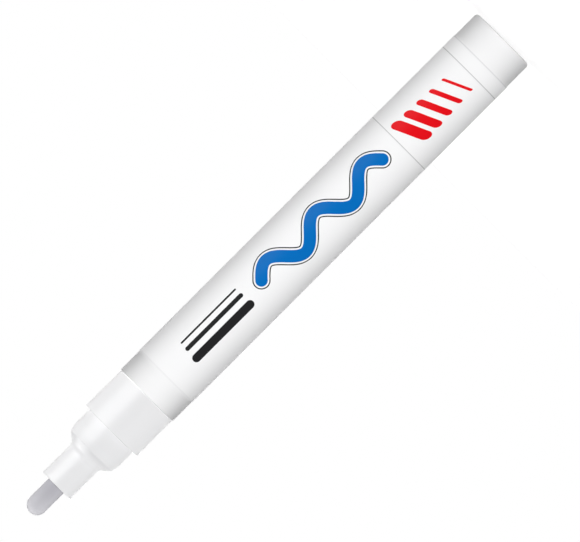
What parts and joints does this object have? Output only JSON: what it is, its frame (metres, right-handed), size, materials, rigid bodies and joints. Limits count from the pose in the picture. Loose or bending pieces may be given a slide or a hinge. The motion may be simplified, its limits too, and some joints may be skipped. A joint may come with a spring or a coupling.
{
  "type": "paint marker",
  "caption": "Valve-action paint marker without its cap: slim metal can, wrapped label, stepped moulded nose, bullet nib that presses in against a sprung valve, loose mixing ball.",
  "frame": {"origin": "centre of the rear end of the barrel, on the plane that the marker stands on", "axes": "+Z along the marker's axis from the rear end to the nib's tip; the label's seam is on the +Y side and its print faces -Y"},
  "size_m": [0.0148, 0.0148, 0.1333],
  "materials": {
    "white_enamel": "gloss",
    "label_film": "gloss",
    "nose_plastic": "satin",
    "nib_fibre": "matte",
    "seat_plastic": "satin",
    "valve_plastic": "satin",
    "rod_plastic": "satin",
    "spring_steel": "satin",
    "ball_steel": "polished"
  },
  "bodies": {
    "body": {"barrel": "white_enamel", "label_wrap": "label_film", "front_holder": "nose_plastic", "valve_seat": "seat_plastic", "valve_case": "valve_plastic", "valve_spring": "spring_steel"},
    "nib": {"nib": "nib_fibre"},
    "valve": {"valve_rod": "rod_plastic"},
    "ball": {"mixing_ball": "ball_steel"}
  },
  "joints": [
    {"name": "nib_press", "type": "slide", "parent": "body", "child": "nib", "axis": [0, 0, -1], "range_m": [0, 0.002], "stiffness_N_per_m": 1400, "springref_m": -0.0002},
    {"name": "valve_lift", "type": "slide", "parent": "body", "child": "valve", "axis": [0, 0, -1], "range_m": [0, 0.002], "deforming": ["valve_spring"]},
    {"name": "ball_rattle", "type": "slide", "parent": "body", "child": "ball", "axis": [0, 0, 1], "range_m": [0, 0.0815]}
  ],
  "couplings": [
    {"joint": "valve_lift", "follows": "nib_press", "ratio": 1}
  ]
}
